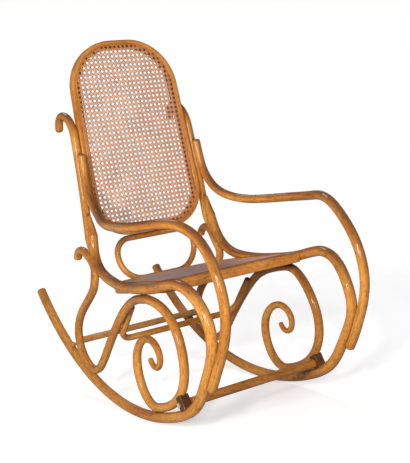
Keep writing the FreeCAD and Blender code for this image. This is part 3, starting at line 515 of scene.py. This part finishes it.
def beech_grain():
    """Stained and varnished beech: long grain streaks along the stick, short dark flecks, cloudy stain,
    tops darkened red-brown as painted shade, darkening in the joints that is partly soiling and partly
    painted shade, and soiling on sawn ends. Gives colour, roughness and height."""
    group = bpy.data.node_groups.new("beech_grain", "ShaderNodeTree")
    for way, kind, names in (("INPUT", "Vector", ("Stick",)), ("INPUT", "Float", ("Cut", "Grime", "Rubbed")),
                             ("INPUT", "Color", ("Dark", "Middle", "Light", "Top")),
                             ("OUTPUT", "Color", ("Color",)), ("OUTPUT", "Float", ("Roughness", "Height"))):
        for name in names:
            group.interface.new_socket(name, in_out=way, socket_type="NodeSocket" + kind)
    n = Nodes(group)
    given = group.nodes.new("NodeGroupInput").outputs
    result = group.nodes.new("NodeGroupOutput").inputs
    stick = given["Stick"]
    cloud, streak = n.noise(stick, (26, 26, 6), 3.0), n.noise(stick, (420, 420, 9), 4.0)
    fleck, blot = n.noise(stick, (700, 700, 110), 2.0), n.noise(stick, (80, 80, 26), 6.0, 0.7)
    speck = n.noise(stick, (190, 190, 70), 4.0, 0.7)
    tone = n.spread(n.calc("MULTIPLY_ADD", cloud, 0.75, n.calc("MULTIPLY", streak, 0.5)), 0.44, 0.84)
    colour = n.mix(tone, given["Middle"], given["Light"])
    # Painted shade: faces turned up are darkened towards the top colour.
    top_shade = n.calc("MULTIPLY", given["Rubbed"], n.spread(cloud, 0.25, 0.7, (1.0, 0.65)))
    colour = n.mix(top_shade, colour, given["Top"])
    # Darkening in the joints: partly soiling, partly painted shade between touching parts.
    dirt = n.calc("MULTIPLY", n.spread(given["Grime"], 0.15, 0.95), n.spread(blot, 0.25, 0.6, (0.75, 1.0)))
    # Flecks, blots and specks are the wood's own marks; the joint darkening adds painted shade to them.
    wear_and_shade = n.most(n.spread(fleck, 0.62, 0.74, (0.0, 0.5)), n.spread(blot, 0.54, 0.74, (0.0, 0.7)),
                  n.spread(speck, 0.5, 0.7, (0.0, 0.6)), dirt, n.calc("MULTIPLY", given["Cut"], 0.85))
    n.feed(result["Color"], n.mix(wear_and_shade, colour, given["Dark"]))
    n.feed(result["Roughness"], n.spread(blot, 0.3, 0.7, (0.25, 0.5)))
    n.feed(result["Height"], n.calc("MULTIPLY_ADD", streak, 0.5, n.calc("MULTIPLY", blot, 0.8)))
    return group


GRAIN = beech_grain()


def beech(name, dark, middle, light, top, objectwise=False):
    """Varnished beech in its tones. The grain follows the stick, or the object where a piece has no stick,
    and what faces up is darkened towards the top colour as painted shade, most of all from the seat upwards."""
    material, n, surface = new_material(name)
    spot = n.add("TexCoord").outputs
    if objectwise:
        stick = n.add("Mapping", in_0=spot["Object"], in_Rotation=(0.0, math.pi / 2, 0.0)).outputs[0]
        cut = grime = 0.0
    else:
        stick, cut, grime = n.attribute("stick", "Vector"), n.attribute("cut"), n.attribute("grime")
    # Painted shade on what faces up, strongest from the seat upwards.
    top_shade = n.calc("MULTIPLY", n.spread(n.part(spot["Normal"], "Z"), 0.0, 0.75),
                    n.spread(n.part(spot["Object"], "Z"), 0.2, 0.42, (0.3, 1.0)))
    grain = n.add("Group", node_tree=GRAIN, in_Stick=stick, in_Cut=cut, in_Grime=grime, in_Rubbed=top_shade,
                  in_Dark=(*dark, 1), in_Middle=(*middle, 1), in_Light=(*light, 1), in_Top=(*top, 1)).outputs
    n.feed(surface["Base Color"], grain["Color"])
    n.feed(surface["Roughness"], grain["Roughness"])
    bump = n.add("Bump", in_Strength=0.3, in_Distance=0.0004, in_Height=grain["Height"])
    n.feed(surface["Normal"], bump.outputs[0])
    surface["Coat Weight"].default_value = 0.25
    surface["Coat Roughness"].default_value = 0.1
    surface["Specular IOR Level"].default_value = 0.0
    return material


# The fourth colour of each beech is painted shade for the faces turned up.
ROD_WOOD = beech("honey_beech", (0.045, 0.013, 0.003), (0.44, 0.14, 0.018), (0.8, 0.36, 0.07),
                 (0.12, 0.036, 0.013))
FRAME_WOOD = beech("frame_beech", (0.08, 0.022, 0.006), (0.55, 0.18, 0.026), (0.82, 0.36, 0.075),
                   (0.22, 0.065, 0.024))
# The spacer blocks' beech is darker, and darker still as painted shade: a shaded copy of the beech.
BLOCK_SHADED_WOOD = beech("dark_shaded_beech", (0.012, 0.004, 0.001), (0.055, 0.018, 0.005), (0.14, 0.05, 0.013),
                   (0.03, 0.01, 0.003), objectwise=True)
TURNED_WOOD = beech("turned_beech", (0.12, 0.04, 0.012), (0.45, 0.19, 0.05), (0.66, 0.36, 0.13),
                    (0.36, 0.15, 0.06), objectwise=True)


def cane_skin(name, dark, middle, light):
    """Glossy natural cane: tan with a pink cast, streaked along each strand, darker at its edges as painted
    shade between the strands, toned orange towards the sitter's left and along the frame."""
    material, n, surface = new_material(name)
    stick, spot = n.attribute("stick", "Vector"), n.add("TexCoord").outputs["Object"]
    streak, cloud = n.noise(stick, (500, 500, 60), 3.0), n.noise(spot, (14, 14, 14), 2.0)
    tone = n.calc("MULTIPLY_ADD", cloud, 0.25, n.calc("MULTIPLY", streak, 0.75))
    # Painted shade: each strand is darkened towards its edges.
    edge = n.spread(n.calc("ABSOLUTE", n.part(stick, "X")), 0.0008, 0.0014, (0.0, 0.26))
    colour = n.ramp(n.calc("SUBTRACT", tone, edge), ((0.2, dark), (0.48, middle), (0.66, light)))
    left = n.spread(n.part(spot, "X"), 0.02, 0.17, (0.0, 0.5))
    # On cane the last mesh attribute holds only the border tone: strands toned orange-brown along the frame.
    for amount, tint in ((left, (0.62, 0.27, 0.11, 1)), (n.attribute("grime"), (0.5, 0.18, 0.04, 1))):
        colour = n.mix(amount, colour, tint)
    n.feed(surface["Base Color"], colour)
    n.feed(surface["Roughness"], n.spread(streak, 0.3, 0.7, (0.3, 0.5)))
    surface["Specular IOR Level"].default_value = 0.35
    return material


# The slanted strands get darker copies of the same cane: painted shade between the layers of the weave.
CANE = (cane_skin("woven_cane", (0.26, 0.1, 0.04), (0.8, 0.46, 0.3), (0.95, 0.69, 0.5)),
        cane_skin("slanted_shaded_cane", (0.08, 0.03, 0.015), (0.4, 0.18, 0.1), (0.66, 0.36, 0.24)))
SEAT_CANE = (cane_skin("seat_cane", (0.13, 0.06, 0.045), (0.42, 0.25, 0.21), (0.58, 0.4, 0.36)),
             cane_skin("slanted_shaded_seat_cane", (0.06, 0.025, 0.02), (0.25, 0.13, 0.11), (0.4, 0.25, 0.22)))


def metal(name, dark, light):
    """Screw metal, darkened and scratched."""
    material, n, surface = new_material(name)
    grit = n.noise(n.add("TexCoord").outputs["Object"], (900, 900, 900), 3.0)
    n.feed(surface["Base Color"], n.ramp(grit, ((0.3, dark), (0.7, light))))
    n.feed(surface["Roughness"], n.spread(grit, 0.3, 0.7, (0.35, 0.6)))
    surface["Metallic"].default_value = 0.9
    return material


STEEL = metal("screw_steel", (0.12, 0.09, 0.06), (0.42, 0.36, 0.28))
BOLT_STEEL = metal("bolt_steel", (0.3, 0.2, 0.11), (0.7, 0.52, 0.34))


# Bent rods

def normals(path):
    return unit(np.cross(np.gradient(path, axis=0), ACROSS))


def faded_end(path, radius, at, way, length, tip):
    """A path and its radii whose first end (at 0) or last end (at -1) thins evenly to tip over length and
    shifts by the lost radius along its normal, one way or the other, to stay against the rod beside it."""
    run = lengths_along(path)
    run = run if at == 0 else run[-1] - run
    radii = tip + (radius - tip) * np.clip(run / length, 0, 1)
    return path + (way * (radius - radii))[:, None] * normals(path), radii


(rail_path, rail_marks), (stile_path, stile_marks) = rail.arcs(), stile.arcs()
(arm_path, _), (scroll_path, scroll_marks) = arm.arcs(), scroll.arcs()
LINES = {"rail": (rail_path, RAIL_R), "arm": (arm_path, ARM_R), "stile": (stile_path, STILE_R),
         "scroll": (scroll_path, SCROLL_R)}


def both_sides(name, path, radii, ease, grain):
    """The rod on the sitter's left and its mirror image on the right, each standing for its CAD node. The
    grain starts so many metres along, so that no two rods show the same."""
    others = [line for key, line in LINES.items() if key != name]
    for side, flip in (("left", False), ("right", True)):
        rod = tube("%s_rod_%s" % (name, side), path, radii, ACROSS, ease, grain=grain + 0.7 * flip,
                   mirror=flip, beside=others)
        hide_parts("%s_%s" % (name, side))


lap = rail_path[rail_marks[1]:rail_marks[1] + LAP_POINTS]
stile_path = np.concatenate([stile_path[:stile_marks[STILE_LAP]],
                             lap - normals(lap) * (RAIL_R + STILE_R + GAP)])
both_sides("rail", *faded_end(rail_path, RAIL_R, at=0, way=-1, length=60.0, tip=5.0), (3.0, 3.0), 0.0)
both_sides("arm", arm_path, ARM_R, (7.5, 7.5), 5.0)
both_sides("stile", *faded_end(stile_path, STILE_R, at=-1, way=1, length=80.0, tip=2.5), (9.6, 1.5), 9.0)
scroll_run = lengths_along(scroll_path)
thin_from = scroll_run[scroll_marks[THINNING]]
thinned = np.clip((scroll_run - thin_from) / (scroll_run[-1] - thin_from), 0, 1)
both_sides("scroll", scroll_path, SCROLL_R + (TIP_R - SCROLL_R) * thinned, (4.9, 4.9), 12.0)


# Ring, bow and stretchers

SEAT_BACK = np.array([0, math.cos(SEAT_SLOPE), -math.sin(SEAT_SLOPE)])
SEAT_UP = np.array([0, math.sin(SEAT_SLOPE), math.cos(SEAT_SLOPE)])
SEAT_FRONT = np.array([0, 217.0, 455.0])
RING_HALF, RING_DROP, RING_LOW_BEND, RING_HIGH_BEND = 129.0, 6.0, 74.0, 44.0
BOW_BEND, BOW_REACH = 38.0, 10.0
ring_low = -(SEAT_UP @ (on_back(0, 0, BACK_T / 2) - SEAT_FRONT) + RING_DROP) / (UP @ SEAT_UP)
ring_high = -BACK_HALF - GAP - RING_R
ring_flat = rounded([(-RING_HALF, ring_low), (RING_HALF, ring_low), (RING_HALF, ring_high),
                     (-RING_HALF, ring_high)], [RING_LOW_BEND] * 2 + [RING_HIGH_BEND] * 2)[:-1]
ring = tube("ring_rod", on_back(ring_flat[:, 0], ring_flat[:, 1], BACK_T / 2), RING_R, BACKWARD, closed=True,
            grain=20.0)
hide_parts("ring_brace")

bow_x = SIDE - SCROLL_R - BOW_R - GAP
bow_bar = np.array([0, 495.0, 190.0])
bow_seat = scroll.points[BOW_SEAT] * [0, 1, 1]
bow_rise = unit(bow_seat - bow_bar)
bow_top = bow_seat + bow_rise * (BOW_R + BOW_REACH)
bow_path = rounded([bow_top + ACROSS * bow_x, bow_bar + ACROSS * bow_x, bow_bar - ACROSS * bow_x,
                    bow_top - ACROSS * bow_x], [BOW_BEND] * 4, closed=False)
bow = tube("bow_rod", bow_path, BOW_R, np.cross(bow_rise, ACROSS), (3.6, 3.6), grain=23.0)
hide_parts("bow")

front_bar = laid([0, 126.0, 161.0], (np.linspace(-1, 1, 60) * (SIDE - BLOCK_HALF - GAP), ACROSS))
stretcher = tube("front_stretcher_rod", front_bar, FRONT_STRETCHER_R, (0, 0, 1), (0.5, 0.5), grain=26.0)
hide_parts("front_stretcher")


# Caned frames

def frame_profile(width, thickness, ease=4.0, groove_depth=5.0, cane_depth=1.6):
    """Section of a caned frame as (inset, height): rounded outer edges, a square inner edge, a groove for
    the spline and a shallow seat for the cane. It runs round from the outer side over the face."""
    turn = np.linspace(0, math.pi / 2, 7)
    outer_top = np.stack([ease - ease * np.cos(turn), -ease + ease * np.sin(turn)], 1)
    groove_out, groove_in = width - CANE_LAP, width - CANE_LAP + SPLINE_WIDTH
    face = [(groove_out - 0.5, 0), (groove_out, -0.5), (groove_out, -groove_depth),
            (groove_in, -groove_depth), (groove_in, -cane_depth), (width - 0.8, -cane_depth),
            (width, -cane_depth - 0.8), (width, -thickness / 2), (width, -thickness + 1.0),
            (width - 1.0, -thickness)]
    outer_low = np.stack([ease - ease * np.sin(turn), -thickness + ease - ease * np.cos(turn)], 1)
    side = [(0, -thickness * 0.65), (0, -thickness * 0.35)]
    return np.concatenate([outer_top, face, outer_low, side])


def on_back_face(x, y, height):
    return on_back(x, y, -height)


def on_seat_face(x, y, height):
    return laid(SEAT_FRONT, (x, ACROSS), (y, SEAT_BACK), (height, SEAT_UP))


seat_depth = (on_back(0, ring_low, BACK_T / 2) - SEAT_FRONT) @ SEAT_BACK - RING_R - GAP
(near_depth, near_half), (far_depth, far_half) = [
    ((rail.points[i] - SEAT_FRONT) @ SEAT_BACK, rail.points[i][0] - RAIL_R - GAP)
    for i in (SEAT_SIDE, SEAT_REAR_SIDE)]
narrowing = (near_half - far_half) / (far_depth - near_depth)
front_half, rear_half = near_half + narrowing * near_depth, near_half + narrowing * (near_depth - seat_depth)
back_low, back_high = back_side(-BACK_HALF), back_side(BACK_HALF)
BACK_CORNERS = [(-back_low, -BACK_HALF), (back_low, -BACK_HALF), (back_high, BACK_HALF),
                (-back_high, BACK_HALF)]
SEAT_CORNERS = [(-front_half, 0), (front_half, 0), (rear_half, seat_depth), (-rear_half, seat_depth)]


def back_radii(depth):
    return [BACK_BOTTOM_RADIUS - depth] * 2 + [BACK_TOP_RADIUS - depth] * 2


def seat_radii(depth):
    """The front corners are nearly square outside, as the photograph shows, and rounder at the cane."""
    return [SEAT_FRONT_RADIUS + depth * 0.25] * 2 + [SEAT_REAR_RADIUS - depth] * 2


def spline_profile(inner):
    """Half-round reed, (inset, height), standing a little proud of the face."""
    a = np.linspace(0, math.pi, 9)
    middle, half = inner + SPLINE_WIDTH / 2, SPLINE_WIDTH / 2 - GAP
    crown = np.stack([middle - half * np.cos(a), -0.6 + 1.3 * np.sin(a)], 1)
    return np.concatenate([crown, [(middle + half, -5.0), (middle - half, -5.0)]])


def strand_ends(outline, origins, direction):
    """Where lines through the origins along direction enter and leave a convex anticlockwise outline."""
    inward = inward_ways(outline)
    depth = ((origins[:, None] - outline[None]) * inward[None]).sum(-1)
    rate = inward @ direction
    with np.errstate(divide="ignore", invalid="ignore"):
        t = -depth / rate[None]
    enter = np.where(rate > 1e-9, t, -np.inf).max(1)
    leave = np.where(rate < -1e-9, t, np.inf).min(1)
    return enter, leave


CANE_PITCH, PAIR_SHIFT, STRAND_WIDTH, SHEET_LEVEL = 14.0, 1.65, 2.7, -0.55
STRAND_SECTION = np.array([(-0.5, -0.35), (-0.5, 0.05), (-0.28, 0.42), (0.28, 0.42), (0.5, 0.05),
                           (0.5, -0.35)])
STRAND_REACH, TUCK, TUCK_DEPTH = 420.0, 6.0, 1.2
BORDER, BORDER_FADE, BORDER_TONE = 17.0, 6.0, 0.85


def strands(name, outline, place, families, thick, material, step):
    """Ribbons of cane. A family of parallel lines is its direction, spacing, start, the way x that its wave
    runs, and its lines as (shift, height, A, phase). Ribbon point = line(s) + across * side + height +
    A cos(2 pi x / pitch + phase). Near both ends a ribbon dips under the frame's spline. The last mask marks
    the sheet's border, for its tone."""
    points, sticks, borders, faces = [], [], [], []
    inward = inward_ways(outline)
    corners, count = len(STRAND_SECTION), 0
    wide, tall = STRAND_SECTION[None, :, 0] * STRAND_WIDTH, STRAND_SECTION[None, :, 1] * thick
    for direction, spacing, start, wave_way, lines in families:
        direction = unit(direction)
        across = np.array([-direction[1], direction[0]])
        reach = int(STRAND_REACH / spacing) + 1
        for shift, height, wave, phase in lines:
            offsets = np.arange(-reach, reach + 1) * spacing + start + shift
            origins = offsets[:, None] * across
            enter, leave = strand_ends(outline, origins, direction)
            good = leave - enter > TUCK
            for k, (origin, s0, s1) in enumerate(zip(origins[good], enter[good], leave[good])):
                n = max(3, int((s1 - s0) / step) + 1)
                s = np.linspace(s0, s1, n)
                base = origin + s[:, None] * direction
                z = height + wave * np.cos(2 * math.pi * (base @ wave_way) / CANE_PITCH + phase)
                tuck = np.clip(1 - np.minimum(s - s0, s1 - s) / TUCK, 0, 1) ** 2
                z = SHEET_LEVEL + z * (1 - tuck) - TUCK_DEPTH * tuck
                xy = base[:, None] + wide[..., None] * across
                zz = z[:, None] + tall
                points.append(place(xy[..., 0], xy[..., 1], zz).reshape(-1, 3))
                stick = np.broadcast_arrays(wide, k * 3.7, s[:, None])
                sticks.append(np.stack(stick, -1).reshape(-1, 3) / 1000)
                depth = ((base[:, None] - outline[None]) * inward[None]).sum(-1).min(1)
                tone = np.clip((BORDER - depth) / BORDER_FADE, 0, BORDER_TONE)
                borders.append(np.repeat(tone, corners))
                faces += grid_faces(n, corners, offset=count)
                faces += [[count + c for c in range(corners)],
                          [count + (n - 1) * corners + c for c in reversed(range(corners))]]
                count += corners * n
    points, faces = np.concatenate(points), [face[::-1] for face in faces]
    return new_piece(name, chair_to_room(points), faces, material, np.concatenate(sticks),
                     np.zeros(len(points)), np.concatenate(borders))


def caned(name, corners, radii, width, thickness, place, middle, grain, cane):
    """A frame, its spline and its six-way cane: pairs of strands up and across, and one strand on each
    diagonal."""
    section = frame_profile(width, thickness)
    # Painted shade: the groove, the cane's seat and the frame's inner side are darkened.
    cane_bed_shade = ((section[:, 0] > width - CANE_LAP + 1.0) & (section[:, 1] > 1.0 - thickness)) * 1.0
    bent = moulded_ring(name + "_bent_frame", corners, radii, place, section, grain, cane_bed_shade)
    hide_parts(name + "_frame")
    section = spline_profile(width - CANE_LAP)
    clean = np.zeros(len(section))
    reed = moulded_ring(name + "_reed", corners, radii, place, section, grain + 2, clean)
    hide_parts(name + "_spline")
    trim = width - CANE_LAP + SPLINE_WIDTH * 0.5
    edge = even_loop(inset(corners, trim), radii(trim))
    mx, my = middle
    p, half, slant, phase = CANE_PITCH, CANE_PITCH / 2, math.sqrt(2), -2 * math.pi * mx / CANE_PITCH
    up, sideways = (0, 1), (1, 0)
    straight = ((up, p, -mx, up, ((-PAIR_SHIFT, -0.25, 0.05, 0.0), (PAIR_SHIFT, 0.15, 0.12, math.pi))),
                (sideways, p, my, sideways, ((-PAIR_SHIFT, 0.0, 0.1, 0.0), (PAIR_SHIFT, 0.0, -0.1, 0.0))))
    slanted = (((1, 1), p / slant, (my - mx + half) / slant, sideways, ((0, 0.0, 0.5, phase),)),
               ((-1, 1), p / slant, (half - mx - my) / slant, sideways, ((0, 0.0, -0.5, phase),)))
    for label, families, thick, skin, step in (("straight", straight, 0.55, cane[0], p / 3),
                                               ("slanted", slanted, 0.5, cane[1], p / 4)):
        sheet = strands("%s_cane_%s" % (name, label), edge, place, families, thick, skin, step)
        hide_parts(name + "_cane")


caned("back", BACK_CORNERS, back_radii, BACK_WIDTH, BACK_T, on_back_face, (7.0, 7.0), 30.0, CANE)
caned("seat", SEAT_CORNERS, seat_radii, SEAT_WIDTH, SEAT_T, on_seat_face, (0.0, 7.0), 34.0, SEAT_CANE)

for look, nodes in ((STEEL, ("screws", "spacer_screws")), (BOLT_STEEL, ("stretcher_bolts",)),
                    (BLOCK_SHADED_WOOD, ("front_block_left", "front_block_right")),
                    (TURNED_WOOD, ("rear_spacer_left", "rear_spacer_right", "rear_stretcher"))):
    for node in nodes:
        frame["nodes"][node].data.materials.clear()
        frame["nodes"][node].data.materials.append(look)


# Room: floor, lights and camera

def seen_white(n):
    """1 for the rays of the camera, of glass and of gloss, which see the room white, and 0 for the rest."""
    path = n.add("LightPath").outputs
    return n.most(path["Is Camera Ray"], path["Is Transmission Ray"], path["Is Glossy Ray"])


def floor(radius=6.0, edges=96):
    """A pale round floor that fades into the white of the room away from the chair, and keeps its shadow."""
    a = np.linspace(0, 2 * math.pi, edges, endpoint=False)
    points = np.concatenate([[[0, 0, 0]], np.stack([radius * np.cos(a), radius * np.sin(a), a * 0], 1)])
    points[:, 2] = -0.0005
    mesh = bpy.data.meshes.new("floor")
    mesh.from_pydata(points.tolist(), [], [[0, 1 + k, 1 + (k + 1) % edges] for k in range(edges)])
    ground = bpy.data.objects.new("floor", mesh)
    bpy.context.collection.objects.link(ground)
    material = bpy.data.materials.new("pale_floor")
    n = cleared(material)
    away = n.add("VectorMath", operation="LENGTH", in_0=n.add("TexCoord").outputs["Object"])
    fade = n.add("MapRange", interpolation_type="SMOOTHSTEP", in_0=away.outputs["Value"], in_1=1.0, in_2=2.0)
    pale = n.add("AddShader", in_0=n.add("BsdfDiffuse", in_0=(0.85, 0.85, 0.86, 1)).outputs[0],
                 in_1=n.add("Emission", in_0=(1, 1, 1, 1), in_1=0.5).outputs[0])
    dull = n.add("BsdfDiffuse", in_0=(0.25, 0.25, 0.25, 1))
    pale = n.add("MixShader", in_0=seen_white(n), in_1=dull.outputs[0], in_2=pale.outputs[0])
    clear = n.add("BsdfTransparent")
    mix = n.add("MixShader", in_0=fade.outputs[0], in_1=pale.outputs[0], in_2=clear.outputs[0])
    n.add("OutputMaterial", in_0=mix.outputs[0])
    mesh.materials.append(material)


def world():
    """White to the camera, a plain low level of light to everything else."""
    room = bpy.data.worlds.new("room")
    bpy.context.scene.world = room
    n = cleared(room)
    plain = n.add("Background", in_0=(1.0, 0.95, 0.88, 1), in_1=0.05)
    white = n.add("Background", in_0=(1, 1, 1, 1), in_1=1.0)
    mix = n.add("MixShader", in_0=seen_white(n), in_1=plain.outputs[0], in_2=white.outputs[0])
    n.add("OutputWorld", in_0=mix.outputs[0])


def stand(name, data, place, right, up, back):
    """A lamp or a camera at a place, turned so that its own three axes are right, up and back."""
    thing = bpy.data.objects.new(name, data)
    bpy.context.collection.objects.link(thing)
    turn = np.stack([right, up, back], 1)
    thing.matrix_world = Matrix([[*row, at] for row, at in zip(turn, place)] + [[0, 0, 0, 1]])
    return thing


def lamp(name, place, aim, size, watts):
    light = bpy.data.lights.new(name, "AREA")
    light.shape, light.size, light.energy = "DISK", size, watts
    back = unit(np.subtract(place, aim))
    right = unit(np.cross((0, 0, 1), back))
    stand(name, light, place, right, np.cross(back, right), back)


def camera():
    """At the photograph's place: solved in the drawing axes, then turned with the chair. Its focal length is
    893.67 pixels of the photograph's 410."""
    azimuth, elevation = math.radians(33.3826), math.radians(17.3685)
    forward = turned([math.sin(azimuth) * math.cos(elevation), math.cos(azimuth) * math.cos(elevation),
                      -math.sin(elevation)])
    right = turned([math.cos(azimuth), -math.sin(azimuth), 0])
    lens = bpy.data.cameras.new("camera")
    lens.sensor_fit, lens.sensor_width = "HORIZONTAL", 36.0
    lens.lens = 893.67 / 410 * lens.sensor_width
    bpy.context.scene.camera = stand("camera", lens, chair_to_room([-1265.0, -1562.4, 1231.2]), right,
                                     np.cross(right, forward), -forward)


floor()
world()
lamp("key", (-2.6, -1.6, 1.1), (0, 0, 0.5), 0.6, 58)
lamp("front", (-1.5, -3.0, 1.3), (0, 0, 0.5), 0.6, 44)
lamp("glint", (-2.1, -2.4, 1.6), (0, 0, 0.5), 0.25, 34)
lamp("side", (2.6, 0.2, 1.6), (0, 0, 0.3), 0.8, 6)
lamp("back", (0.2, 1.6, 2.6), (0, 0, 0.3), 1.0, 30)
camera()
bpy.context.scene.view_settings.view_transform = "Standard"
